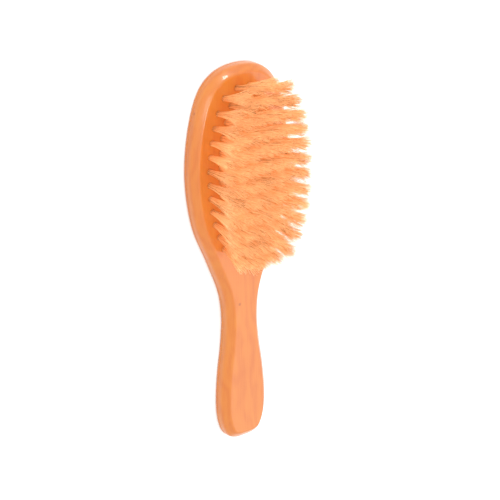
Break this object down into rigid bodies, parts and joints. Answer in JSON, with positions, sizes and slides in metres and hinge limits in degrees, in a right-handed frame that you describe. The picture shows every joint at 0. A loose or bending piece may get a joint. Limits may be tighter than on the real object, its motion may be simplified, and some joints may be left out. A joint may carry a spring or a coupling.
{
  "type": "clothes_brush",
  "caption": "Wooden clothes brush with an oval chamfered head, a waisted flat handle and pale bristle tufts drawn in rows on wire, closed by a glued back.",
  "frame": {"origin": "Middle of the flat back's footprint, on the surface the brush lies on, bristles up.", "axes": "+Z is the way the bristles point, +Y runs from the handle's end to the top of the head, +X is across the head."},
  "size_m": [0.065, 0.21, 0.0313],
  "materials": {
    "lacquered_wood": "glossy orange lacquer",
    "pale_bristle": "matte natural fibre",
    "draw_wire": "drawn wire"
  },
  "bodies": {
    "root": {"handle_stock": "lacquered_wood", "back_cover": "lacquered_wood", "bristle_row_01": "pale_bristle", "bristle_row_02": "pale_bristle", "bristle_row_03": "pale_bristle", "bristle_row_04": "pale_bristle", "bristle_row_05": "pale_bristle", "bristle_row_06": "pale_bristle", "bristle_row_07": "pale_bristle", "bristle_row_08": "pale_bristle", "bristle_row_09": "pale_bristle", "bristle_row_10": "pale_bristle", "bristle_row_11": "pale_bristle", "bristle_row_12": "pale_bristle", "draw_wire_01": "draw_wire", "draw_wire_02": "draw_wire", "draw_wire_03": "draw_wire", "draw_wire_04": "draw_wire", "draw_wire_05": "draw_wire", "draw_wire_06": "draw_wire", "draw_wire_07": "draw_wire", "draw_wire_08": "draw_wire", "draw_wire_09": "draw_wire", "draw_wire_10": "draw_wire", "draw_wire_11": "draw_wire", "draw_wire_12": "draw_wire"}
  },
  "joints": []
}
